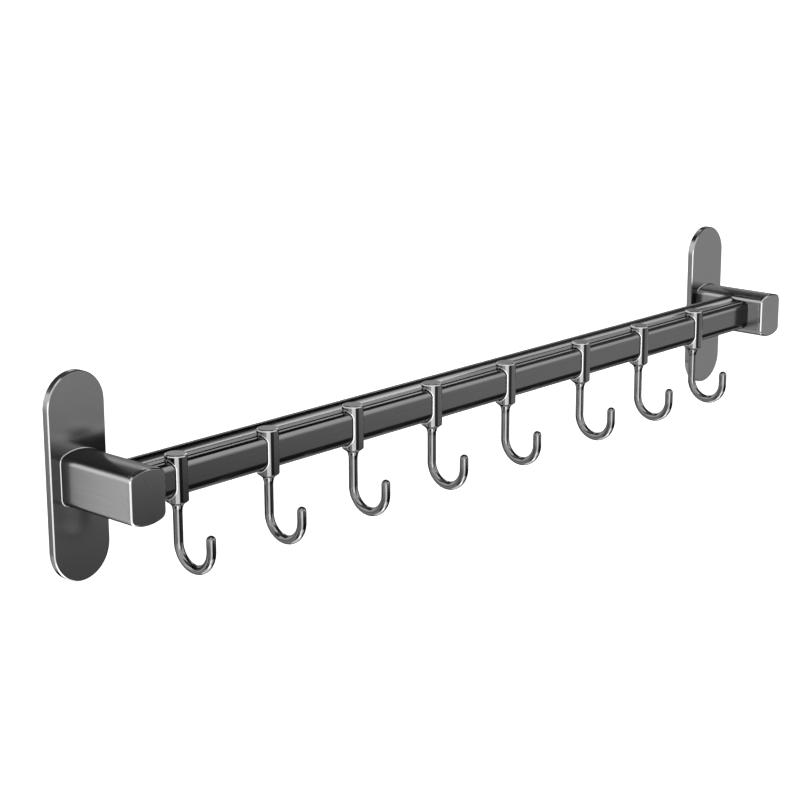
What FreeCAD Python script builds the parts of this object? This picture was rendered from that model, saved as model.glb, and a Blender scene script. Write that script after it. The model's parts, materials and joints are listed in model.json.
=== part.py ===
import FreeCAD, Part
import math
import os

# A wall-mounted kitchen utensil rail with eight sliding hooks.
# X runs along the rail, to the right for someone who faces the wall.
# Y runs into the wall, whose surface is the plane Y = 0, and Z is up.
# X = 0 is midway between the two arms, and Z = 0 is the middle of the arms.
# The left-hand pieces are modelled and mirrored for the right-hand end.

# Layout, in millimetres
arm_spacing = 470.0
rail_gap = 20.0
rail_drop = 8.2
arm_overhang = 9.0

# Adhesive pads and wall plates
pad_thickness = 1.0
pad_inset = 1.5
plate_width = 30.4
plate_height = 92.4
plate_thickness = 3.5
plate_bevel = 0.5
recess_depth = 0.8
recess_clearance = 0.3
recess_bevel = 0.3

# Arms: a sleeve of arched section over a core
arm_width = 19.1
arm_height = 24.4
arm_side_height = 19.8
arm_corner_radius = 3.2
inner_corner_radius = 0.4
sleeve_wall = 1.6
seam_bevel = 0.25
core_clearance = 0.08
core_end_gap = 0.5

# End caps
cap_thickness = 2.0
cap_bevel = 1.0
spigot_radius = 3.0
spigot_length = 4.0
spigot_clearance = 0.05

# Rail: an extrusion whose top sweeps up at the back
rail_depth = 15.0
rail_height = 18.3
rail_step = 1.9
rail_crest_setback = 2.4
rail_crest_radius = 0.3
rail_slope_run = 2.5
rail_foot_radius = 7.5
rail_front_top_radius = 3.5
rail_front_bottom_radius = 5.0
rail_back_bottom_radius = 2.0
rail_back_top_radius = 0.5
rail_past_arm_middle = 5.0
socket_clearance = 0.1
groove_setback = 4.0
groove_width = 1.1
groove_depth = 0.9
hollow_wall = 1.4
hollow_web = 1.0
hollow_radius = 1.0

# Countersunk screws that hold the core to the plate from behind
screw_spacing = 12.0
screw_radius = 1.95
screw_length = 14.0
screw_head_radius = 3.6
screw_sunk = 0.2
thread_clearance = 0.05
cross_width = 0.9
cross_span = 3.6
cross_depth = 1.1

# Grub screw under each arm
grub_radius = 2.0
grub_sunk = 0.5
grub_hole_clearance = 0.3
grub_key_corner = 1.15
grub_key_depth = 1.8

# Hooks, with the share of their run along the rail at which each one hangs
hook_shares = (0.0265, 0.1482, 0.2714, 0.3962, 0.5229, 0.6622, 0.78, 0.8971)
hook_clearance = 0.25
head_radius = 5.0
head_front_wall = 1.5
head_above_land = 2.75
head_below_rail = 1.6
head_bevel = 0.6
cone_radius = 2.9
cone_height = 1.6
flare_height = 3.4
wire_radius = 2.1
bend_radius = 10.2
bend_drop = 19.9
tip_straight = 5.0

# How far a cutter runs on past the face that it opens
overshoot = 1.0

# Faces and levels that follow from the sizes above
plate_back = -pad_thickness
plate_front = plate_back - plate_thickness
recess_floor = plate_front + recess_depth
rail_back = plate_front - rail_gap
rail_front = rail_back - rail_depth
rail_bottom = -rail_drop
rail_top = rail_bottom + rail_height
rail_land = rail_top - rail_step
groove_middle = rail_front + groove_setback
arm_front = rail_front - arm_overhang
cap_back = arm_front + cap_thickness
core_front = cap_back + core_end_gap
arm_middle = -arm_spacing / 2
rail_end = arm_middle - rail_past_arm_middle
head_middle = rail_front - hook_clearance - head_front_wall + head_radius
bend_level = rail_bottom - bend_drop
hook_run_start = arm_middle + arm_width / 2 + head_radius

origin = FreeCAD.Vector(0, 0, 0)
along_x = FreeCAD.Vector(1, 0, 0)
along_y = FreeCAD.Vector(0, 1, 0)
along_z = FreeCAD.Vector(0, 0, 1)
half_turn = 180
full_turn = 360


def line(start, end):
    """Straight edge between two points."""
    return Part.LineSegment(start, end).toShape()


def arc(start, middle, end):
    """Edge along the circle through three points."""
    return Part.Arc(start, middle, end).toShape()


def rounded_wire(corners):
    """Closed wire round corner points, each with its own radius.

    Each arc touches the two sides of its corner, and its middle lies on the line
    that halves the corner. Straight edges join the arcs.
    """
    arcs = []
    for index, (point, radius) in enumerate(corners):
        to_before = (corners[index - 1][0] - point).normalize()
        to_after = (corners[(index + 1) % len(corners)][0] - point).normalize()
        half_angle = to_before.getAngle(to_after) / 2
        tangent_length = radius / math.tan(half_angle)
        to_middle = (to_before + to_after).normalize()
        middle = point + to_middle * (radius / math.sin(half_angle) - radius)
        start = point + to_before * tangent_length
        end = point + to_after * tangent_length
        arcs.append(arc(start, middle, end))
    edges = []
    for before, after in zip(arcs, arcs[1:] + arcs[:1]):
        edges.append(before)
        edges.append(line(before.lastVertex().Point, after.firstVertex().Point))
    return Part.Wire(edges)


def arched_bar(half_width, side_top, crown, back, front):
    """Bar along Y with flat upright sides and an arc over its top and its bottom."""
    left_low = FreeCAD.Vector(-half_width, back, -side_top)
    left_high = FreeCAD.Vector(-half_width, back, side_top)
    right_high = FreeCAD.Vector(half_width, back, side_top)
    right_low = FreeCAD.Vector(half_width, back, -side_top)
    edges = [
        line(left_low, left_high),
        arc(left_high, FreeCAD.Vector(0, back, crown), right_high),
        line(right_high, right_low),
        arc(right_low, FreeCAD.Vector(0, back, -crown), left_low),
    ]
    return Part.Face(Part.Wire(edges)).extrude(along_y * (front - back))


def stadium(width, height, back, front):
    """Upright plate with fully round ends."""
    return arched_bar(width / 2, (height - width) / 2, height / 2, back, front)


def arm_bar(inset, back, front):
    """Bar of the arm's section with every face moved in by inset.

    The arches keep their centres, so they stay parallel to the arm's own, and the
    four long corners are rounded.
    """
    rise = (arm_height - arm_side_height) / 2
    arch_radius = ((arm_width / 2) ** 2 + rise**2) / (2 * rise)
    arch_centre = arm_height / 2 - arch_radius
    half_width = arm_width / 2 - inset
    side_top = arch_centre + math.sqrt((arch_radius - inset) ** 2 - half_width**2)
    bar = arched_bar(half_width, side_top, arm_height / 2 - inset, back, front)
    long_corners = [edge for edge in bar.Edges if edge.BoundBox.YLength > abs(front - back) / 2]
    return bar.makeFillet(max(arm_corner_radius - inset, inner_corner_radius), long_corners)


def edges_at(solid, place):
    """Edges of a solid that lie in the plane Y = place."""
    return [
        edge
        for edge in solid.Edges
        if all(abs(vertex.Y - place) < Part.Precision.confusion() * 10 for vertex in edge.Vertexes)
    ]


def turned(profile):
    """Solid turned about the line along Y through the first point of its profile."""
    face = Part.Face(Part.makePolygon(profile + profile[:1]))
    return face.revolve(profile[0], along_y, full_turn)


def rail_bar(clearance, left, right):
    """Bar of the rail's outline without its grooves, grown all round by a clearance."""
    crest = rail_back - rail_crest_setback
    foot = crest - rail_slope_run
    corners = [
        (FreeCAD.Vector(left, rail_back, rail_bottom), rail_back_bottom_radius),
        (FreeCAD.Vector(left, rail_front, rail_bottom), rail_front_bottom_radius),
        (FreeCAD.Vector(left, rail_front, rail_land), rail_front_top_radius),
        (FreeCAD.Vector(left, foot, rail_land), rail_foot_radius),
        (FreeCAD.Vector(left, crest, rail_top), rail_crest_radius),
        (FreeCAD.Vector(left, rail_back, rail_top), rail_back_top_radius),
    ]
    face = Part.Face(rounded_wire(corners))
    if clearance > 0:
        face = face.makeOffset2D(clearance)
    return face.extrude(along_x * (right - left))


def groove_bar(clearance, left, right, outward):
    """Bar that fills a groove of the rail, less a clearance, and runs on past its mouth.

    outward is 1 for the groove in the top and -1 for the one in the bottom.
    """
    mouth = rail_land if outward > 0 else rail_bottom
    floor = mouth - outward * (groove_depth - clearance)
    end = mouth + outward * overshoot
    width = groove_width - 2 * clearance
    corner = FreeCAD.Vector(left, groove_middle - width / 2, min(floor, end))
    return Part.makeBox(right - left, width, abs(end - floor), corner)


def adhesive_pad():
    """Foam pad that sticks the plate to the wall, a little smaller than the plate."""
    return stadium(plate_width - 2 * pad_inset, plate_height - 2 * pad_inset, 0, plate_back)


def screw_levels():
    """Heights of the two screws, which stand one above the other."""
    return {"upper": screw_spacing / 2, "lower": -screw_spacing / 2}


def plate_screw(level):
    """Countersunk screw with a cross recess in its head."""
    head_face = plate_back - screw_sunk
    cone_end = head_face - (screw_head_radius - screw_radius)
    screw_tip = head_face - screw_length
    screw = turned(
        [
            FreeCAD.Vector(0, head_face, level),
            FreeCAD.Vector(screw_head_radius, head_face, level),
            FreeCAD.Vector(screw_radius, cone_end, level),
            FreeCAD.Vector(screw_radius, screw_tip, level),
            FreeCAD.Vector(0, screw_tip, level),
        ]
    )
    for width, height in ((cross_width, cross_span), (cross_span, cross_width)):
        corner = FreeCAD.Vector(-width / 2, head_face - cross_depth, level - height / 2)
        screw = screw.cut(Part.makeBox(width, cross_depth, height, corner))
    return screw


def screw_hole(level):
    """Room for a countersunk screw, open through the plate's back."""
    head_face = plate_back - screw_sunk
    cone_end = head_face - (screw_head_radius - screw_radius)
    hole_end = head_face - screw_length - thread_clearance
    head_hole = screw_head_radius + thread_clearance
    shank_hole = screw_radius + thread_clearance
    return turned(
        [
            FreeCAD.Vector(0, plate_back, level),
            FreeCAD.Vector(head_hole, plate_back, level),
            FreeCAD.Vector(head_hole, head_face, level),
            FreeCAD.Vector(shank_hole, cone_end, level),
            FreeCAD.Vector(shank_hole, hole_end, level),
            FreeCAD.Vector(0, hole_end, level),
        ]
    )


def wall_plate():
    """Aluminium plate with a bevelled front edge and a shallow seat for the arm."""
    plate = stadium(plate_width, plate_height, plate_back, plate_front)
    plate = plate.makeChamfer(plate_bevel, edges_at(plate, plate_front))
    seat = arm_bar(-recess_clearance, recess_floor, plate_front)
    plate = plate.cut(seat)
    seat_rim = [
        edge
        for edge in edges_at(plate, plate_front)
        if edge.distToShape(seat)[0] < Part.Precision.confusion()
    ]
    plate = plate.makeChamfer(recess_bevel, seat_rim)
    for level in screw_levels().values():
        plate = plate.cut(screw_hole(level))
    return plate


def grub_hole(radius):
    """Upright hole from under the arm to above the rail's bottom, for the grub screw."""
    flat_middle = (rail_back + groove_middle) / 2
    keel = FreeCAD.Vector(0, flat_middle, -arm_height / 2)
    return Part.makeCylinder(radius, arm_height / 2, keel, along_z)


def arm_sleeve():
    """Extruded sleeve with an opening on its inner side that lets the rail in."""
    sleeve = arm_bar(0, recess_floor, cap_back)
    sleeve = sleeve.makeChamfer(seam_bevel, edges_at(sleeve, cap_back))
    sleeve = sleeve.cut(arm_bar(sleeve_wall, recess_floor, cap_back))
    socket_end = -rail_past_arm_middle - socket_clearance
    sleeve = sleeve.cut(rail_bar(socket_clearance, socket_end, arm_width))
    return sleeve.cut(grub_hole(grub_radius + grub_hole_clearance))


def arm_core():
    """Cast core that is screwed to the plate and takes the rail in a side socket."""
    core = arm_bar(sleeve_wall + core_clearance, recess_floor, core_front)
    socket_end = -rail_past_arm_middle - socket_clearance
    core = core.cut(rail_bar(socket_clearance, socket_end, arm_width))
    for level in screw_levels().values():
        core = core.cut(screw_hole(level))
    core = core.cut(grub_hole(grub_radius + thread_clearance))
    spigot_hole = Part.makeCylinder(
        spigot_radius + spigot_clearance,
        spigot_length + spigot_clearance,
        FreeCAD.Vector(0, cap_back, 0),
        along_y,
    )
    return core.cut(spigot_hole)


def end_cap():
    """Cap of the arm's outline, bevelled in front, with a round spigot for the core."""
    cap = arm_bar(0, cap_back, arm_front)
    cap = cap.makeChamfer(cap_bevel, edges_at(cap, arm_front))
    cap = cap.makeChamfer(seam_bevel, edges_at(cap, cap_back))
    foot = FreeCAD.Vector(0, cap_back, 0)
    spigot = Part.makeCylinder(spigot_radius, spigot_length, foot, along_y)
    return cap.fuse(spigot)


def grub_screw():
    """Grub screw with a hexagon socket, whose tip bears on the rail's bottom."""
    flat_middle = (rail_back + groove_middle) / 2
    foot = FreeCAD.Vector(0, flat_middle, -arm_height / 2 + grub_sunk)
    screw = Part.makeCylinder(grub_radius, rail_bottom - foot.z, foot, along_z)
    sides = 6
    corners = []
    for side in range(sides + 1):
        turn = side * 2 * math.pi / sides
        corners.append(foot + FreeCAD.Vector(math.cos(turn), math.sin(turn), 0) * grub_key_corner)
    key = Part.Face(Part.makePolygon(corners)).extrude(along_z * grub_key_depth)
    return screw.cut(key)


def rail():
    """Hollow extrusion with a stepped top and a groove above and below for the hooks."""
    bar = rail_bar(0, rail_end, -rail_end)
    for outward in (1, -1):
        bar = bar.cut(groove_bar(0, rail_end, -rail_end, outward))
    front = rail_front + hollow_wall
    back = rail_back - hollow_wall
    low = rail_bottom + groove_depth + hollow_web
    high = rail_land - groove_depth - hollow_web
    corners = [
        (FreeCAD.Vector(rail_end, place, level), hollow_radius)
        for place, level in ((front, low), (front, high), (back, high), (back, low))
    ]
    hollow = Part.Face(rounded_wire(corners)).extrude(along_x * -2 * rail_end)
    return bar.cut(hollow)


def hook_shank():
    """Turned body of a hook: bevelled head, cone, hollow flare and straight wire.

    The flare is an arc that meets the wire without a corner, so its centre is level
    with the flare's foot.
    """
    head_top = rail_land + head_above_land
    head_low = rail_bottom - head_below_rail
    cone_low = head_low - cone_height
    flare_low = cone_low - flare_height
    swell = cone_radius - wire_radius
    flare_radius = (swell**2 + flare_height**2) / (2 * swell)
    half_sweep = math.asin(flare_height / flare_radius) / 2

    def at(radius, level):
        return FreeCAD.Vector(0, head_middle + radius, level)

    flare_middle = at(
        wire_radius + flare_radius * (1 - math.cos(half_sweep)),
        flare_low + flare_radius * math.sin(half_sweep),
    )
    edges = [
        line(at(0, head_top), at(head_radius - head_bevel, head_top)),
        line(at(head_radius - head_bevel, head_top), at(head_radius, head_top - head_bevel)),
        line(at(head_radius, head_top - head_bevel), at(head_radius, head_low)),
        line(at(head_radius, head_low), at(cone_radius, cone_low)),
        arc(at(cone_radius, cone_low), flare_middle, at(wire_radius, flare_low)),
        line(at(wire_radius, flare_low), at(wire_radius, bend_level)),
        line(at(wire_radius, bend_level), at(0, bend_level)),
        line(at(0, bend_level), at(0, head_top)),
    ]
    profile = Part.Face(Part.Wire(edges))
    return profile.revolve(at(0, head_top), along_z, full_turn)


def hook_bend():
    """The J: half a ring towards the room, a short straight and a round tip."""
    start = FreeCAD.Vector(0, head_middle, bend_level)
    centre = start - along_y * bend_radius
    tip_foot = centre - along_y * bend_radius
    section = Part.Face(Part.Wire(Part.makeCircle(wire_radius, start, along_z)))
    ring = section.revolve(centre, along_x, -half_turn)
    straight = Part.makeCylinder(wire_radius, tip_straight, tip_foot, along_z)
    tip = Part.makeSphere(wire_radius, tip_foot + along_z * tip_straight)
    return ring.fuse(straight.fuse(tip))


def hook():
    """One-piece cast hook whose head wraps the front of the rail.

    The cut in the head follows the rail's outline at a clearance. A tooth under the
    top lip and another on the bottom lip run in the rail's two grooves.
    """
    shank = hook_shank()
    head = shank.cut(rail_bar(hook_clearance, -head_radius, head_radius))
    for outward in (1, -1):
        tooth = groove_bar(hook_clearance, -head_radius, head_radius, outward)
        head = head.fuse(tooth.common(shank))
    return head.fuse(hook_bend()).removeSplitter()


def save(shape, name):
    """Write one sub-part to its own STEP file."""
    shape.exportStep("parts/" + name + ".step")


os.makedirs("parts", exist_ok=True)

# Pieces of one end, modelled about X = 0, set at the left arm and mirrored
end_pieces = {
    "adhesive_pad": adhesive_pad(),
    "wall_plate": wall_plate(),
    "arm_core": arm_core(),
    "arm_sleeve": arm_sleeve(),
    "end_cap": end_cap(),
    "grub_screw": grub_screw(),
}
for level_name, level in screw_levels().items():
    end_pieces["plate_screw_" + level_name] = plate_screw(level)

for name, piece in end_pieces.items():
    left_piece = piece.translated(along_x * arm_middle)
    save(left_piece, name + "_left")
    save(left_piece.mirror(origin, along_x), name + "_right")

# The rail and the hooks that slide on it
save(rail(), "rail")
plain_hook = hook()
for number, share in enumerate(hook_shares, start=1):
    place = hook_run_start * (1 - 2 * share)
    save(plain_hook.translated(along_x * place), "hook_" + str(number))
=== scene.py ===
import json
import math

import bmesh
import bpy
import numpy as np
from mathutils import Matrix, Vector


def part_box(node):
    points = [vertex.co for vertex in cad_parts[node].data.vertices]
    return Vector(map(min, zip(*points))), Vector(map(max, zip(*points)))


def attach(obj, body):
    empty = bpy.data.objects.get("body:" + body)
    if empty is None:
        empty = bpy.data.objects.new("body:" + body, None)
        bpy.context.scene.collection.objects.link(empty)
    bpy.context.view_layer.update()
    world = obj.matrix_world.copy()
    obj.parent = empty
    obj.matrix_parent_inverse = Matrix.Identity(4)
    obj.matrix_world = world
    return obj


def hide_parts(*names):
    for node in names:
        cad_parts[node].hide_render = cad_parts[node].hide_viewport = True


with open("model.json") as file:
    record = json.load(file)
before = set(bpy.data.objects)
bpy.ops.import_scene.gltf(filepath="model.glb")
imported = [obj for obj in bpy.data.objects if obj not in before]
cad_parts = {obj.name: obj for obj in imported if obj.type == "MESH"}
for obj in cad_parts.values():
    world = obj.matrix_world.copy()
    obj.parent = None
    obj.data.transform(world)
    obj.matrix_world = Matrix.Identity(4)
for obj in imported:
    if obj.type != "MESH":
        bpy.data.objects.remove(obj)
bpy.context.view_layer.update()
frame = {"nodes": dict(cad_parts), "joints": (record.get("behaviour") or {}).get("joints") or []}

# Camera
# Stands left of the rail, a little above it, and looks along the row of hooks
# through a long product lens.
def turned(place, heading, tilt, roll):
    """Matrix at a place, turned in degrees about Z, then about its own X and its own Z."""
    return (
        Matrix.Translation(place)
        @ Matrix.Rotation(math.radians(heading), 4, "Z")
        @ Matrix.Rotation(math.radians(tilt), 4, "X")
        @ Matrix.Rotation(math.radians(roll), 4, "Z")
    )


camera_data = bpy.data.cameras.new("camera")
camera_data.sensor_width = 36.0
camera_data.lens = 91.32
camera_data.clip_start = 0.01
camera = bpy.data.objects.new("camera", camera_data)
bpy.context.scene.collection.objects.link(camera)
camera.matrix_world = turned((-0.752707, -0.655473, 0.245887), -47.856, 75.466, -0.191)
bpy.context.scene.camera = camera
bpy.context.scene.view_settings.view_transform = "Standard"


# Studio
# A white floor and a white room. The metal mirrors a soft band of light round the
# horizon with dark screens and bright cards in it, and two softboxes that stand close
# to the left arm's side and to the rail's ridge.
def add_node(tree, kind, inputs=(), **settings):
    """Node of a tree with its settings, and its inputs set to values or linked to sockets."""
    node = tree.nodes.new(kind)
    for name, value in settings.items():
        setattr(node, name, value)
    for key, value in dict(inputs).items():
        if isinstance(value, bpy.types.NodeSocket):
            tree.links.new(value, node.inputs[key])
        else:
            node.inputs[key].default_value = value
    return node


def math_node(tree, operation, *values):
    """Result of a Math node."""
    return add_node(tree, "ShaderNodeMath", enumerate(values), operation=operation).outputs[0]


def smooth_step(tree, value, start, end):
    """0 up to start, 1 from end on, and a smooth rise between them."""
    inputs = {"Value": value, "From Min": start, "From Max": end}
    ramp = add_node(tree, "ShaderNodeMapRange", inputs, interpolation_type="SMOOTHSTEP")
    return ramp.outputs["Result"]


world = bpy.data.worlds.new("studio")
bpy.context.scene.world = world
world.use_nodes = True
sky = world.node_tree
sky.nodes.clear()
toward = add_node(sky, "ShaderNodeTexCoord").outputs["Generated"]
parts = add_node(sky, "ShaderNodeSeparateXYZ", {"Vector": toward}).outputs
height = math_node(sky, "DEGREES", math_node(sky, "ARCSINE", parts["Z"]))
heading = math_node(sky, "DEGREES", math_node(sky, "ARCTAN2", parts["Y"], parts["X"]))

# Brightness of the band by its height in degrees
band_heights = [
    (-45, 0.03), (-27, 0.04), (-21, 0.09), (-18.5, 0.12), (-17, 0.15), (-15.5, 0.5), (-14, 0.74),
    (-10, 0.62), (-5, 0.85), (0, 1.05), (8, 1.6), (38, 1.75), (41, 1.4), (44, 0.1),
]
ceiling = 0.1
band = sky.nodes.new("ShaderNodeValToRGB")
sky.links.new(math_node(sky, "MULTIPLY_ADD", height, 1 / 180, 0.5), band.inputs["Fac"])
stops = band.color_ramp.elements
for index, (degrees, value) in enumerate(band_heights):
    stop = stops[0] if index == 0 else stops.new(degrees / 180 + 0.5)
    stop.position = degrees / 180 + 0.5
    stop.color = (value, value, value, 1)
stops[len(stops) - 1].color = (ceiling, ceiling, ceiling, 1)
glow = add_node(sky, "ShaderNodeRGBToBW", {"Color": band.outputs["Color"]}).outputs["Val"]

# Heading of the middle, half width, lowest and highest height and soft edge in degrees,
# then the share that a screen takes from the band or the brightness that a card adds
screens = [
    (353.0, 20.0, -5.0, 90.0, 3.0, 0.93),
    (39.5, 6.5, 20.0, 90.0, 4.5, 0.93),
    (84.0, 38.0, 25.0, 90.0, 6.0, 0.93),
    (38.0, 14.0, -90.0, 9.5, 14.0, 0.8),
    (273.0, 14.0, -90.0, 12.0, 6.0, 0.8),
]
cards = [
    (234.0, 16.0, -75.0, 4.0, 7.0, 3.0),
    (195.0, 18.0, -40.0, 6.0, 14.0, 0.7),
    (125.0, 30.0, -60.0, -25.0, 8.0, 0.8),
    (0.0, 180.0, -90.0, -69.0, 8.0, 3.0),
    (255.0, 42.0, -78.0, -46.0, 8.0, 2.2),
    (222.0, 40.0, 48.0, 88.0, 8.0, 2.0),
    (20.0, 26.0, -62.0, -34.0, 5.0, 0.45),
]


def card_mask(middle, half_width, low, high, edge):
    """1 inside a rectangle of headings and heights, falling to 0 over its soft edge."""
    turn = math_node(sky, "WRAP", math_node(sky, "SUBTRACT", heading, middle), 180.0, -180.0)
    aside = smooth_step(sky, math_node(sky, "ABSOLUTE", turn), half_width + edge, half_width)
    above = smooth_step(sky, height, low - edge, low)
    below = smooth_step(sky, height, high + edge, high)
    return math_node(sky, "MULTIPLY", math_node(sky, "MULTIPLY", aside, above), below)


for *place, share in screens:
    shade = math_node(sky, "MULTIPLY_ADD", card_mask(*place), -share, 1.0)
    glow = math_node(sky, "MULTIPLY", glow, shade)
for *place, strength in cards:
    glow = math_node(sky, "MULTIPLY_ADD", card_mask(*place), strength, glow)
mirrored = add_node(sky, "ShaderNodeBackground", {"Strength": glow}).outputs[0]
seen = add_node(sky, "ShaderNodeBackground", {"Strength": 1.0}).outputs[0]
ray = add_node(sky, "ShaderNodeLightPath").outputs["Is Camera Ray"]
either = add_node(sky, "ShaderNodeMixShader", {0: ray, 1: mirrored, 2: seen}).outputs[0]
add_node(sky, "ShaderNodeOutputWorld", {"Surface": either})

# Place, the heading and height that each softbox is seen at, its width, length, roll and power
softboxes = {
    "side_box": ((-0.381, 0.07, -0.047), (129.7, -17.2), 0.1, 0.2, 0.0, 0.042),
    "slope_box": ((0.305, 0.306, 0.338), (37.4, 30.8), 0.27, 0.16, 42.0, 0.25),
}
for name, (place, aim, width, tall, roll, power) in softboxes.items():
    light = bpy.data.lights.new(name, "AREA")
    light.shape = "RECTANGLE"
    light.size, light.size_y = width, tall
    light.energy = power
    softbox = bpy.data.objects.new(name, light)
    softbox.visible_camera = False
    bpy.context.scene.collection.objects.link(softbox)
    softbox.matrix_world = turned(place, aim[0] - 90, aim[1] - 90, roll)

# The floor, which the metal doesn't mirror
floor_half, floor_level = 30, -0.6
floor_mesh = bpy.data.meshes.new("floor")
floor_corners = [
    (-floor_half, -floor_half, floor_level), (floor_half, -floor_half, floor_level),
    (floor_half, floor_half, floor_level), (-floor_half, floor_half, floor_level),
]
floor_mesh.from_pydata(floor_corners, [], [(0, 1, 2, 3)])
floor = bpy.data.objects.new("floor", floor_mesh)
bpy.context.scene.collection.objects.link(floor)
floor.visible_glossy = False
floor_paint = bpy.data.materials.new("floor_paint")
floor_paint.use_nodes = True
floor_shader = floor_paint.node_tree.nodes["Principled BSDF"]
floor_shader.inputs["Base Color"].default_value = (0.9, 0.9, 0.9, 1)
floor_shader.inputs["Roughness"].default_value = 0.9
floor_shader.inputs["Emission Color"].default_value = (1, 1, 1, 1)
floor_shader.inputs["Emission Strength"].default_value = 0.8
floor_mesh.materials.append(floor_paint)


# Adhesive pads
# Closed-cell foam tape, die-cut to the plate's shape and a little smaller, which
# sticks each plate to the wall.
def skin(name, patches, material):
    """Mesh object over grids of points in millimetres.

    Each patch is (points, rows close, columns close), with a fourth value where edges are
    rubbed and lightened, a painted highlight as well as wear: how much, for every point. A face joins the
    points (i, j), (i, j + 1), (i + 1, j + 1) and (i + 1, j). Points in the same place are merged, which
    closes seams and poles, and edges that turn by more than 30 degrees are sharp.
    """
    points = []
    faces = []
    rub_highlight = []
    start = 0
    for grid, rows_close, columns_close, *rub_highlights in patches:
        rows, columns = grid.shape[:2]
        index = start + np.arange(rows * columns).reshape(rows, columns)
        if rows_close:
            index = np.vstack([index, index[:1]])
        if columns_close:
            index = np.hstack([index, index[:, :1]])
        quads = np.stack([index[:-1, :-1], index[:-1, 1:], index[1:, 1:], index[1:, :-1]], axis=-1)
        rub_highlight.append(np.broadcast_to(rub_highlights[0] if rub_highlights else 0.0, (rows, columns)).ravel())
        points.append(grid.reshape(-1, 3) * 0.001)
        faces.append(quads.reshape(-1, 4))
        start += rows * columns
    mesh = bpy.data.meshes.new(name)
    mesh.from_pydata(np.vstack(points).tolist(), [], np.vstack(faces).tolist())
    rub_highlight = np.concatenate(rub_highlight)
    if rub_highlight.any():
        mesh.attributes.new("rub_highlight", "FLOAT", "POINT").data.foreach_set("value", rub_highlight)
    work = bmesh.new()
    work.from_mesh(mesh)
    bmesh.ops.remove_doubles(work, verts=work.verts, dist=2e-7)
    bmesh.ops.recalc_face_normals(work, faces=work.faces)
    work.to_mesh(mesh)
    work.free()
    mesh.shade_smooth()
    mesh.set_sharp_from_angle(angle=math.radians(30))
    mesh.materials.append(material)
    piece = bpy.data.objects.new(name, mesh)
    bpy.context.scene.collection.objects.link(piece)
    return piece


def eased(corners, radii, closed=False, steps=5, support=0.06):
    """Outline through corners, each of them rounded by an arc, with a point beside each arc.

    An arc of radius r touches both sides at r / tan(half the corner's angle) from the
    corner, and its points turn evenly from the first touching point to the second.
    """
    corners = np.array(corners, float)
    ring = np.vstack([corners[-1:], corners, corners[:1]]) if closed else corners
    radii = np.array(radii, float)[:, None]
    here = ring[1:-1]
    back = ring[:-2] - here
    on = ring[2:] - here
    back /= np.linalg.norm(back, axis=1, keepdims=True)
    on /= np.linalg.norm(on, axis=1, keepdims=True)
    half = np.arccos(np.clip((back * on).sum(1), -1, 1))[:, None] / 2
    middle = (back + on) / np.linalg.norm(back + on, axis=1, keepdims=True)
    centre = here + middle * radii / np.sin(half)
    reach = radii / np.tan(half)
    first = (here + back * reach - centre)[:, None]
    last = (here + on * reach - centre)[:, None]
    sweep = (np.pi - 2 * half)[:, None]
    part = np.linspace(0, 1, steps)[None, :, None]
    swung = np.sin((1 - part) * sweep) * first + np.sin(part * sweep) * last
    arcs = centre[:, None] + swung / np.sin(sweep)
    before = (here + back * (reach + support))[:, None]
    after = (here + on * (reach + support))[:, None]
    line = np.concatenate([before, arcs, after], axis=1).reshape(-1, 2)
    return line if closed else np.vstack([corners[:1], line, corners[-1:]])


def four_quarters(quarter):
    """Closed outline from its first quarter, mirrored across both axes."""
    back = quarter[::-1]
    return np.vstack([
        quarter[:-1],
        (back * (-1, 1))[:-1],
        (quarter * (-1, -1))[:-1],
        (back * (1, -1))[:-1],
    ])


def plate_outline(inset):
    """Upright outline with round ends: a straight side, then a quarter circle.

    The circle's centre stays in place, and its radius is half the width less the inset.
    """
    width, tall = 30.4, 92.4
    radius = width / 2 - inset
    side = np.array([0, 0.35, 0.7, 0.9, 0.997]) * (tall - width) / 2
    angle = np.linspace(0, np.pi / 2, 27)
    straight = np.stack([np.full_like(side, radius), side], axis=1)
    curve = radius * np.stack([np.cos(angle), np.sin(angle)], axis=1) + (0, (tall - width) / 2)
    return four_quarters(np.vstack([straight, curve]))


def layer(outline, depth, middle):
    """Points of an outline at a depth, which is below 0 in front of the wall."""
    depths = np.full(len(outline), float(depth))
    return np.stack([outline[:, 0] + middle, depths, outline[:, 1]], axis=1)


def plate_layers(profile, middle):
    """Layers of the plate's outline along a profile of (inset, depth)."""
    return [layer(plate_outline(inset), depth, middle) for inset, depth in profile]


def pole(count, depth, middle):
    """Layer whose points all lie in one place, which closes a stack of layers."""
    return np.tile((middle, depth, 0.0), (count, 1))


# In millimetres. Insets are how far inside the plate's outline a point lies.
arm_middles = {"left": -235.0, "right": 235.0}
pad_front, pad_inset, deep_inset = -1.0, 1.5, 9.0

foam = bpy.data.materials.new("foam_tape")
foam.use_nodes = True
foam_tree = foam.node_tree
foam_place = add_node(foam_tree, "ShaderNodeTexCoord").outputs["Object"]
cells = add_node(foam_tree, "ShaderNodeTexVoronoi", {"Vector": foam_place, "Scale": 3500.0})
patchy = add_node(foam_tree, "ShaderNodeTexNoise", {"Vector": foam_place, "Scale": 160.0, "Detail": 3.0})
foam_colour = add_node(foam_tree, "ShaderNodeMix", data_type="RGBA")
foam_colour.inputs["A"].default_value = (0.66, 0.66, 0.67, 1)
foam_colour.inputs["B"].default_value = (0.8, 0.8, 0.8, 1)
foam_tree.links.new(patchy.outputs["Fac"], foam_colour.inputs["Factor"])
foam_relief = {"Strength": 0.35, "Distance": 0.0001, "Height": cells.outputs["Distance"]}
foam_bump = add_node(foam_tree, "ShaderNodeBump", foam_relief)
foam_shader = foam_tree.nodes["Principled BSDF"]
foam_shader.inputs["Roughness"].default_value = 0.85
foam_tree.links.new(foam_colour.outputs["Result"], foam_shader.inputs["Base Color"])
foam_tree.links.new(foam_bump.outputs["Normal"], foam_shader.inputs["Normal"])

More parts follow.
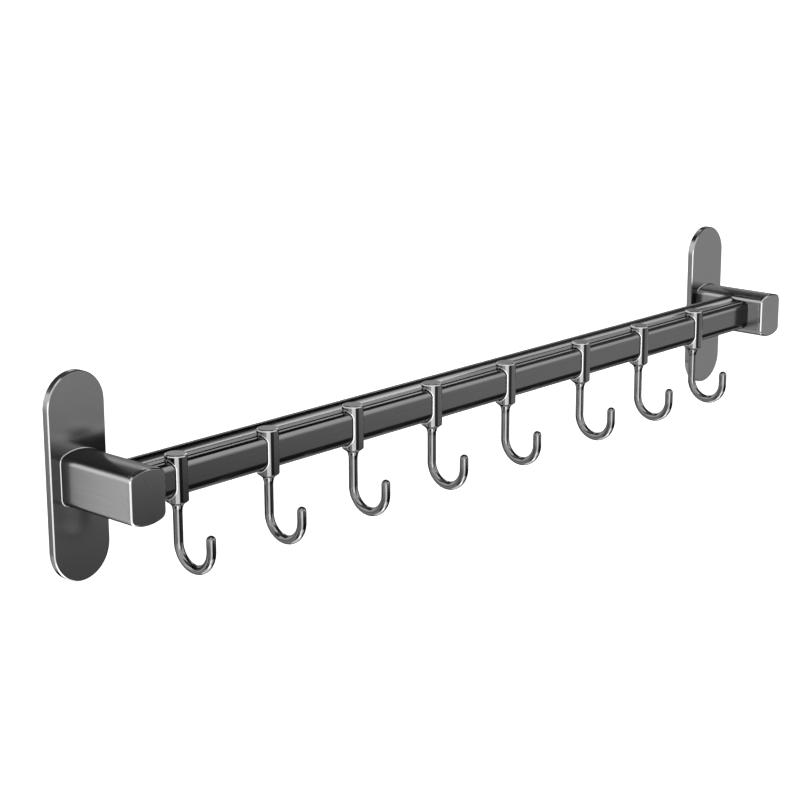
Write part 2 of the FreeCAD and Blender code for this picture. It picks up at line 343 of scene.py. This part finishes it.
pad_profile = eased(
    [(deep_inset, 0.0), (pad_inset, 0.0), (pad_inset, pad_front), (deep_inset, pad_front)], [0.12, 0.12]
)
for end, middle in arm_middles.items():
    rows = plate_layers(pad_profile, middle)
    count = len(rows[0])
    rows = [pole(count, 0.0, middle)] + rows + [pole(count, pad_front, middle)]
    pad = skin("foam_pad_" + end, [(np.array(rows), False, True)], foam)
    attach(pad, "wall_frame")
    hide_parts("adhesive_pad_" + end)

# Wall plates
# Aluminium plates with round ends, cut from sheet, their front edge bevelled, with a
# shallow seat for the arm. They are plated gunmetal grey.
def new_group(name, inputs, outputs):
    """Empty shader group whose sockets are (name, kind, start value), and its two end nodes."""
    group = bpy.data.node_groups.new(name, "ShaderNodeTree")
    for socket_name, kind, value in inputs:
        socket = group.interface.new_socket(socket_name, in_out="INPUT", socket_type=kind)
        if value is not None:
            socket.default_value = value
    for socket_name, kind in outputs:
        group.interface.new_socket(socket_name, in_out="OUTPUT", socket_type=kind)
    return group, group.nodes.new("NodeGroupInput"), group.nodes.new("NodeGroupOutput")


grain, grain_in, grain_out = new_group(
    "metal grain",
    [
        ("Vector", "NodeSocketVector", None),
        ("Fine", "NodeSocketFloat", 900.0),
        ("Cloud", "NodeSocketFloat", 45.0),
        ("Smooth", "NodeSocketFloat", 0.2),
        ("Spread", "NodeSocketFloat", 0.05),
        ("Depth", "NodeSocketFloat", 0.02),
        ("Tone", "NodeSocketColor", (0.3, 0.3, 0.3, 1)),
    ],
    [("Color", "NodeSocketColor"), ("Roughness", "NodeSocketFloat"), ("Normal", "NodeSocketVector")],
)
given = grain_in.outputs
fine = add_node(grain, "ShaderNodeTexNoise", {
    "Vector": given["Vector"], "Scale": given["Fine"], "Detail": 4.0, "Roughness": 0.6})
cloud = add_node(grain, "ShaderNodeTexNoise", {
    "Vector": given["Vector"], "Scale": given["Cloud"], "Detail": 2.0})
centred = math_node(grain, "SUBTRACT", cloud.outputs["Fac"], 0.5)
rough = math_node(grain, "MULTIPLY_ADD", centred, given["Spread"], given["Smooth"])
tinted = add_node(grain, "ShaderNodeMix", data_type="RGBA", blend_type="MULTIPLY")
tinted.inputs["Factor"].default_value = 1.0
fleck = add_node(grain, "ShaderNodeMapRange", {
    "Value": fine.outputs["Fac"], "From Min": 0.2, "From Max": 0.8, "To Min": 0.94, "To Max": 1.06})
grain.links.new(given["Tone"], tinted.inputs["A"])
grain.links.new(fleck.outputs["Result"], tinted.inputs["B"])
bump = add_node(grain, "ShaderNodeBump", {
    "Strength": given["Depth"], "Distance": 0.0001, "Height": fine.outputs["Fac"]})
grain.links.new(tinted.outputs["Result"], grain_out.inputs["Color"])
grain.links.new(rough, grain_out.inputs["Roughness"])
grain.links.new(bump.outputs["Normal"], grain_out.inputs["Normal"])


def plated_metal(name, tone, smooth, stretch=(1.0, 1.0, 1.0), spread=0.05, depth=0.02,
                 fine_scale=900.0, mirrored_shade=0.15, rub_highlight_tone=0.0):
    """Metal whose colour, gloss and relief come from the grain, stretched along one axis.

    In the mirror of other metal its colour is multiplied by its mirrored shade, which paints shade into its
    mirrored image. Where its edges are rubbed it lightens towards its bare brightness, a painted highlight
    as well as wear, and gets duller.
    """
    material = bpy.data.materials.new(name)
    material.use_nodes = True
    tree = material.node_tree
    place = add_node(tree, "ShaderNodeTexCoord").outputs["Object"]
    mapped = add_node(tree, "ShaderNodeMapping", {"Vector": place, "Scale": stretch}).outputs["Vector"]
    texture = add_node(tree, "ShaderNodeGroup", node_tree=grain)
    settings = {"Fine": fine_scale, "Smooth": smooth, "Spread": spread, "Depth": depth, "Tone": (*tone, 1)}
    for key, value in settings.items():
        texture.inputs[key].default_value = value
    tree.links.new(mapped, texture.inputs["Vector"])
    shader = tree.nodes["Principled BSDF"]
    shader.inputs["Metallic"].default_value = 1.0
    # Painted shade: where another metal mirrors this one, its colour is multiplied by a set factor, which
    # darkens the mirrored image when below 1
    bounced = add_node(tree, "ShaderNodeLightPath").outputs["Is Glossy Ray"]
    colour = add_node(tree, "ShaderNodeMix", {"Factor": bounced}, data_type="RGBA", blend_type="MULTIPLY")
    colour.inputs["B"].default_value = (mirrored_shade, mirrored_shade, mirrored_shade, 1)
    plated = texture.outputs["Color"]
    gloss = texture.outputs["Roughness"]
    # Painted highlight as well as wear: the rubbed edges' colour lightens towards a bright tone
    if rub_highlight_tone:
        rub_highlight_mask = add_node(tree, "ShaderNodeAttribute", attribute_name="rub_highlight", attribute_type="GEOMETRY")
        edge = add_node(tree, "ShaderNodeMix", {"Factor": rub_highlight_mask.outputs["Fac"]}, data_type="RGBA")
        edge.inputs["B"].default_value = (rub_highlight_tone, rub_highlight_tone, rub_highlight_tone, 1)
        tree.links.new(plated, edge.inputs["A"])
        plated = edge.outputs["Result"]
        dulled = {"Value": rub_highlight_mask.outputs["Fac"], "To Min": gloss, "To Max": 0.45}
        gloss = add_node(tree, "ShaderNodeMapRange", dulled).outputs["Result"]
    tree.links.new(plated, colour.inputs["A"])
    tree.links.new(colour.outputs["Result"], shader.inputs["Base Color"])
    tree.links.new(gloss, shader.inputs["Roughness"])
    tree.links.new(texture.outputs["Normal"], shader.inputs["Normal"])
    return material


def arm_outline(inset):
    """Outline of the arm moved in by an inset: upright side, round corner, then an arch.

    The arch is a circle of radius R through the sides' tops and the crown, and the corner
    circle touches it from inside, so its centre is R less the corner's radius from the
    arch's centre.
    """
    width, tall, side_tall, corner = 19.1, 24.4, 19.8, 3.2
    rise = (tall - side_tall) / 2
    arch = ((width / 2) ** 2 + rise**2) / (2 * rise)
    arch_level = tall / 2 - arch
    half_width = width / 2 - inset
    radius = arch - inset
    round_off = max(corner - inset, 0.4)
    corner_x = half_width - round_off
    corner_z = arch_level + math.sqrt((radius - round_off) ** 2 - corner_x**2)
    turn = math.atan2(corner_z - arch_level, corner_x)
    side = np.array([0, 0.35, 0.7, 0.9, 0.985]) * corner_z
    bend = np.linspace(0, turn, 11)
    over = np.linspace(turn, np.pi / 2, 17)[1:]
    return four_quarters(np.vstack([
        np.stack([np.full_like(side, half_width), side], axis=1),
        round_off * np.stack([np.cos(bend), np.sin(bend)], axis=1) + (corner_x, corner_z),
        radius * np.stack([np.cos(over), np.sin(over)], axis=1) + (0, arch_level),
    ]))


def arm_layers(profile, middle):
    """Layers of the arm's outline along a profile of (inset, depth)."""
    return [layer(arm_outline(inset), depth, middle) for inset, depth in profile]


plate_front, seat_floor, seat_inset = -4.5, -3.7, 1.5
plate_profile = eased(
    [(deep_inset, pad_front), (0.0, pad_front), (0.0, -4.0), (0.5, plate_front), (2.4, plate_front)],
    [0.25, 0.16, 0.16],
)

# From the plate's front over a small rim, which shows as a light line round the arm,
# and down into the seat
seat_profile = eased(
    [(-1.3, plate_front), (-0.5, plate_front), (-0.14, -4.73), (-0.06, -4.66), (-0.06, seat_floor),
     (seat_inset, seat_floor)],
    [0.05, 0.04, 0.04, 0.05], support=0.01,
)

# Painted shade in reflections: how bright each plate looks where other metal mirrors it, the left plate
# much darker than the right
plate_mirrored_shades = {"left": 0.1, "right": 0.7}
for end, middle in arm_middles.items():
    plate_metal = plated_metal("plate_gunmetal_" + end, (0.36, 0.357, 0.357), 0.18, mirrored_shade=plate_mirrored_shades[end])
    rows = plate_layers(plate_profile, middle) + arm_layers(seat_profile, middle)
    count = len(rows[0])
    rows = [pole(count, pad_front, middle)] + rows + [pole(count, seat_floor, middle)]
    plate = skin("plate_" + end, [(np.array(rows), False, True)], plate_metal)
    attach(plate, "wall_frame")
    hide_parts("wall_plate_" + end)

# Rail
# Extruded aluminium, hollow, whose top sweeps up to a ridge at the back. The hooks run
# in a groove in its top and another in its bottom.
rail_back, rail_front, rail_low, rail_land, rail_high = -24.5, -39.5, -8.2, 8.2, 10.2
crest, crest_drop, foot = -26.7, 0.15, -29.3
groove_middle, groove_half, groove_depth = -35.5, 0.55, 0.9


def groove(mouth, floor, before, after):
    """Groove of the rail's outline, from the point before it to the point after it."""
    half = groove_half if before[0] < after[0] else -groove_half
    start = groove_middle - half
    end = groove_middle + half
    return eased([before, (start, mouth[0]), (start, floor), (end, floor), (end, mouth[1]), after],
                 [0.08, 0.06, 0.06, 0.08], steps=4, support=0.02)


def rail_outline():
    """Outline of the rail from the front, round the bottom, up the back and over the top.

    Each corner is an arc. The groove in the top has a flat lip before it, down to the
    front arc, and the one in the bottom breaks into the lower arc.
    """
    low_radius, high_radius = 5.0, 3.5
    behind = -33.5
    low_middle = np.array([rail_front + low_radius, rail_low + low_radius])
    high_middle = np.array([rail_front + high_radius, rail_land - high_radius])
    low_end = math.acos((low_middle[0] - (groove_middle - groove_half)) / low_radius)
    high_end = math.radians(70)
    low_turn = np.linspace(0, low_end, 22)
    high_turn = np.linspace(high_end, 0, 20)
    low_arc = low_middle + low_radius * np.stack([-np.cos(low_turn), -np.sin(low_turn)], axis=1)
    high_arc = high_middle + high_radius * np.stack([-np.cos(high_turn), np.sin(high_turn)], axis=1)
    low_mouth = (low_arc[-1, 1], rail_low)
    low_groove = groove(low_mouth, rail_low + groove_depth, low_arc[-2], (behind, rail_low))
    lip = (high_arc[0, 0] + 0.12, high_arc[0, 1])
    high_groove = groove((rail_land, lip[1]), rail_land - groove_depth, (behind, rail_land), lip)
    back = eased(
        [(behind, rail_low), (rail_back, rail_low), (rail_back, rail_high - crest_drop),
         (crest, rail_high), (foot, rail_land), (behind, rail_land)],
        [2.0, 0.3, 0.4, 8.0], steps=11, support=0.04,
    )
    flat = np.array([(rail_front, high_middle[1] - 0.1), (rail_front, low_middle[1] + 0.1)])
    return np.vstack([low_arc[:-2], low_groove, back[1:-1], high_groove, high_arc, flat])


def along(outline, place):
    """Points of an outline in the plane across the rail at a place along it."""
    return np.column_stack([np.full(len(outline), float(place)), outline])


rail_metal = plated_metal("rail_gunmetal", (0.22, 0.2175, 0.2175), 0.15, stretch=(0.02, 1.0, 1.0),
                          depth=0.05, fine_scale=1600.0, mirrored_shade=1.0)
rail_end = 240

# The hollow is a rectangle with corners of a 1 mm radius. Each of its points lies where
# the line to the outside's point leaves it.
wall = np.array([1.4, 1.9])
corner_radius = 1.0
outer = rail_outline()
corners_low = np.array([rail_front, rail_low]) + wall + corner_radius
corners_high = np.array([rail_back, rail_land]) - wall - corner_radius
inward = np.clip(outer, corners_low, corners_high)
away = outer - inward
inner = inward + corner_radius * away / np.linalg.norm(away, axis=1, keepdims=True)
rail_rows = [
    along(outer, -rail_end), along(outer, rail_end), along(inner, rail_end), along(inner, -rail_end)
]
rail = skin("rail_extrusion", [(np.array(rail_rows), True, True)], rail_metal)
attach(rail, "wall_frame")
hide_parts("rail")

# Arms
# Extruded sleeves with an arched top and bottom, seated in the plates, with a hole in
# the inner side that lets the rail into the core.
arm_metal = plated_metal("arm_gunmetal", (0.36, 0.355, 0.355), 0.24, stretch=(1.0, 0.03, 1.0), depth=0.03)
sleeve_front, sleeve_wall = -46.5, 1.6
sleeve_profile = eased(
    [(0.0, seat_floor), (0.0, sleeve_front), (sleeve_wall, sleeve_front), (sleeve_wall, seat_floor)],
    [0.05, 0.1, 0.05, 0.05], closed=True, support=0.05,
)


def grown(outline, growth):
    """Outline moved out along its normals, which are a quarter turn from its tangents."""
    tangent = np.roll(outline, -1, 0) - np.roll(outline, 1, 0)
    tangent /= np.linalg.norm(tangent, axis=1, keepdims=True)
    return outline + growth * np.stack([tangent[:, 1], -tangent[:, 0]], axis=1)


def plain_rail_outline():
    """Outline of the rail without its grooves."""
    return eased(
        [(rail_back, rail_low), (rail_front, rail_low), (rail_front, rail_land), (foot, rail_land),
         (crest, rail_high), (rail_back, rail_high - crest_drop)],
        [2.0, 5.0, 3.5, 8.0, 0.4, 0.3], closed=True, steps=13, support=0.04,
    )


# The hole has a clearance of 0.1 round the rail and a small chamfer at the sleeve's face
hole_profile = [(4.0, 0.1), (9.35, 0.1), (9.7, 0.42), (14.0, 0.42)]
socket_line = plain_rail_outline()
for end, middle in arm_middles.items():
    inner_side = 1 if end == "left" else -1
    sleeve = skin("arm_" + end, [(np.array(arm_layers(sleeve_profile, middle)), True, True)], arm_metal)
    tool_rows = [along(grown(socket_line, growth), middle + inner_side * x) for x, growth in hole_profile]
    ends = [np.tile(row.mean(0), (len(row), 1)) for row in (tool_rows[0], tool_rows[-1])]
    tool = skin("socket_tool", [(np.array([ends[0]] + tool_rows + [ends[1]]), False, True)], arm_metal)
    opening = sleeve.modifiers.new("opening", "BOOLEAN")
    opening.operation = "DIFFERENCE"
    opening.solver = "EXACT"
    opening.object = tool
    cut = bpy.data.meshes.new_from_object(sleeve.evaluated_get(bpy.context.evaluated_depsgraph_get()))
    sleeve.modifiers.clear()
    bpy.data.objects.remove(tool)
    sleeve.data = cut
    cut.shade_smooth()
    cut.set_sharp_from_angle(angle=math.radians(30))
    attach(sleeve, "wall_frame")
    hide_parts("arm_sleeve_" + end)

# End caps
# Die-cast caps of the arm's outline, pressed into the core by a round spigot, with a
# bevel round the front and a fine seam where they meet the sleeve.
cap_metal = plated_metal("cap_gunmetal", (0.36, 0.357, 0.357), 0.12)
cap_front = -48.5
cap_profile = eased(
    [(2.0, sleeve_front), (0.0, sleeve_front), (0.0, -47.9), (0.72, cap_front), (2.0, cap_front)],
    [0.1, 0.2, 0.2], support=0.04,
)
spigot_profile = [(0, -42.5), (2.6, -42.5), (3.0, -42.9), (3.0, sleeve_front)]


def spigot_outline(radius):
    """Circle with as many points as the arm's outline."""
    angle = np.linspace(0, np.pi / 2, 32)
    return four_quarters(radius * np.stack([np.cos(angle), np.sin(angle)], axis=1))


for end, middle in arm_middles.items():
    rows = [layer(spigot_outline(radius), depth, middle) for radius, depth in spigot_profile]
    rows += arm_layers(cap_profile, middle) + [pole(len(rows[0]), cap_front, middle)]
    cap = skin("cap_" + end, [(np.array(rows), False, True)], cap_metal)
    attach(cap, "wall_frame")
    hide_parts("end_cap_" + end)

# Hooks
# One-piece zinc castings, polished and plated. The head is a round pin whose cut follows
# the rail's outline, with a tooth above and below that runs in the rail's grooves. The
# cut's border and the top's edge are rubbed and lightened, a painted highlight as well as wear.
pin_radius, pin_depth = 5.0, -36.25
hook_top, hook_rim = 10.95, -9.8
plain_high, plain_low = 9.6, -9.4
tooth_level, tooth_half, tooth_step = 7.55, 0.25, 0.05
wire_radius, bend_radius, bend_level, tip_straight = 2.1, 10.2, -28.1, 5.0


def pin_points(turn, level, radius=pin_radius):
    """Points on the pin at turns from the front, where x is the radius times their sine."""
    turn, level, radius = np.broadcast_arrays(turn, level, radius)
    return np.stack([radius * np.sin(turn), pin_depth - radius * np.cos(turn), level], axis=-1)


def mirrored_ring(half):
    """Whole ring from the half with x not below 0, which starts and ends at x = 0."""
    return np.concatenate([half, (half * (-1, 1, 1))[..., -2:0:-1, :]], axis=-2)


def cut_border(depth, middle, radius, up):
    """Border of the cut above (up 1) or below (up -1), from the front to the back.

    Gives the sharp corner, a point on the cut's face beside it, three points on the pin
    beside it and the last one's turn about the pin. The cut is an arc about middle that
    runs on as a flat. The neighbours lie at a right angle to the border, in their own
    surface: an ease away, then where the rub and its painted highlight start to fade and where they end.
    """
    ease, rub_highlight_fade, rub_highlight_end = 0.35, 0.58, 0.68
    turn = np.arccos(np.clip((pin_depth - depth) / pin_radius, -1, 1))
    climb = np.arccos(np.clip((middle[0] - depth) / radius, 0, 1))
    level = middle[1] + up * radius * np.sin(climb)
    in_groove = np.abs(depth - groove_middle) < tooth_half + tooth_step / 2
    toothed = np.where(in_groove, up * tooth_level, level)
    corner = pin_points(turn, toothed)
    aside = np.cos(climb) * np.sin(turn)
    rise = np.sin(climb)
    length = np.hypot(aside, rise)

    def on_pin(away, start):
        """Points on the pin at a distance from the border, and their turns."""
        turn_there = turn - away * aside / length / pin_radius
        return pin_points(turn_there, start + up * away * rise / length), turn_there

    beside = on_pin(ease, toothed)[0]
    faded = on_pin(rub_highlight_fade, level)[0]
    plain, plain_turn = on_pin(rub_highlight_end, level)
    inward = np.sin(turn)
    back = np.cos(turn) * np.sin(climb)
    across = np.stack([-inward, back * np.sin(climb), up * back * np.cos(climb)], axis=1)
    on_cut = corner + ease * across / np.hypot(inward, back)[:, None]
    return (corner, on_cut, beside, faded, plain), plain_turn


def hook_patches():
    """Grids that make one hook about x = 0.

    The pin is a stack of rings, stretched down to the cut's border and up to it from
    below, and a strip in front. The border is eased, the cut is spanned straight across,
    and under the pin the rings follow the flare, the wire, the half circle and the tip.
    """
    high_radius, low_radius = 3.75, 5.25
    high_middle, low_middle = (-36.0, 4.7), (-34.5, -3.2)
    arc = high_middle[0] - high_radius * np.cos(np.linspace(0, np.pi / 2, 15))
    outer_half = tooth_half + tooth_step
    teeth = groove_middle + np.array([-outer_half, -tooth_half, tooth_half, outer_half])
    last = np.arccos((pin_depth - teeth[-1]) / pin_radius)
    rest = pin_depth - pin_radius * np.cos(np.linspace(last, np.pi, 14)[1:])
    depth = np.concatenate([arc, teeth, rest])
    high, high_turn = cut_border(depth, high_middle, high_radius, 1)
    low, low_turn = cut_border(depth, low_middle, low_radius, -1)

    # The eased border, on both sides, which is a quadratic curve from the pin to the cut
    corner, on_cut, beside, faded, plain = (
        np.concatenate([above[::-1], below])[:, None] for above, below in zip(high, low))
    part = np.linspace(0, 1, 6)[None, :, None]
    curve = (1 - part) ** 2 * beside + 2 * part * (1 - part) * corner + part**2 * on_cut
    border = np.concatenate([plain, faded, curve], axis=1)
    # How much each ring of the border is rubbed and lightened, a painted highlight as well as wear
    border_rub_highlight = np.array([0.0] + [1.0] * 6 + [0.0])
    across = np.linspace(1, -1, 9)[None, :, None]
    level = np.ones_like(across)
    span = on_cut * np.concatenate([across, level, level], axis=2)

    # The pin above the cut, rubbed and lightened as a painted highlight where its top's edge is rounded,
    # and in front of the cut
    front = np.linspace(0, high_turn[0], 11)[:-1]
    upper_turn = np.concatenate([front, high_turn])
    upper_end = np.concatenate([np.full_like(front, high_middle[1]), high[-1][:, 2]])
    top = eased(
        [(0.0, hook_top), (4.25, hook_top), (4.8, 10.65), (pin_radius, 10.15), (pin_radius, plain_high)],
        [0.5, 0.35, 0.3],
    )
    upper = [pin_points(upper_turn, level, radius) for radius, level in top]
    upper_rub_highlight = [0.55 if 10.1 < level < hook_top - 0.01 else 0.0 for _, level in top]
    for share in (0.5, 0.96, 1.0):
        upper.append(pin_points(upper_turn, plain_high + (upper_end - plain_high) * share))
        upper_rub_highlight.append(0.0)
    strip_turn = np.concatenate([front, high_turn[:1]])
    strip_turn = np.concatenate([-strip_turn[:0:-1], strip_turn])
    strip = [pin_points(strip_turn, level) for level in (high_middle[1], low_middle[1])]

    # The pin below the cut, the flare, which is an arc that ends upright, and the wire
    flare_radius, flare_end, flare_height = 7.625, -14.8, 3.4
    lower_turn = np.concatenate([front, low_turn])
    lower_end = np.concatenate([np.full_like(front, low_middle[1]), low[-1][:, 2]])
    turn = np.linspace(math.asin(flare_height / flare_radius), 0, 10)
    flare = (wire_radius, flare_end) + flare_radius * np.stack([1 - np.cos(turn), np.sin(turn)], axis=1)
    shank = eased(
        [(pin_radius, plain_low), (pin_radius, hook_rim), (2.9, flare_end + flare_height), tuple(flare[1])],
        [0.35, 0.25],
    )
    shank = np.vstack([shank[:-1], flare[1:], [(wire_radius, -15.2), (wire_radius, -27.6)]])
    lower = [pin_points(lower_turn, lower_end + (plain_low - lower_end) * share) for share in (0.0, 0.04)]
    lower += [pin_points(lower_turn, level, radius) for radius, level in shank]
    for sweep in np.linspace(0, np.pi, 49):
        out = np.array([0, np.cos(sweep), -np.sin(sweep)])
        centre = np.array([0, pin_depth - bend_radius, bend_level]) + bend_radius * out
        ring = centre - wire_radius * np.cos(lower_turn)[:, None] * out
        ring[:, 0] = wire_radius * np.sin(lower_turn)
        lower.append(ring)
    tip_depth = pin_depth - 2 * bend_radius
    for climb in np.linspace(0, np.pi / 2, 12):
        size = wire_radius * np.cos(climb)
        level = bend_level + tip_straight + wire_radius * np.sin(climb)
        ring = np.stack([size * np.sin(lower_turn), tip_depth + size * np.cos(lower_turn),
                         np.full_like(lower_turn, level)], axis=1)
        lower.append(ring)
    return [
        (mirrored_ring(np.array(upper)), False, True, np.array(upper_rub_highlight)[:, None]),
        (np.array(strip), False, False),
        (border, False, False, border_rub_highlight),
        (border * (-1, 1, 1), False, False, border_rub_highlight),
        (span, False, False),
        (mirrored_ring(np.array(lower)), False, True),
    ]


# The hook's rubbed edges lighten towards 0.7, a painted highlight as well as wear
hook_metal = plated_metal("hook_polish", (0.21, 0.2075, 0.2075), 0.08, spread=0.03, depth=0.006,
                          fine_scale=500.0, mirrored_shade=0.5, rub_highlight_tone=0.7)
for joint in frame["joints"]:
    body = joint["child"]
    low_corner, high_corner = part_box(body)
    middle = (low_corner.x + high_corner.x) * 500
    patches = [(grid + (middle, 0, 0), *rest) for grid, *rest in hook_patches()]
    hook = skin("cast_" + body, patches, hook_metal)
    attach(hook, body)
    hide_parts(body)

# Cores and screws
# A cast core in each sleeve holds the rail. Two zinc-plated countersunk screws fix it
# to the plate, and a grub screw from below clamps the rail.
core_metal = plated_metal("raw_casting", (0.5, 0.5, 0.51), 0.45, spread=0.2, depth=0.4, fine_scale=700.0)
screw_metal = plated_metal("zinc_plate", (0.6, 0.6, 0.58), 0.28, spread=0.1, depth=0.05, fine_scale=2500.0)
for name, node in frame["nodes"].items():
    if name.startswith(("arm_core", "plate_screw", "grub_screw")):
        node.data.materials.clear()
        node.data.materials.append(core_metal if name.startswith("arm_core") else screw_metal)
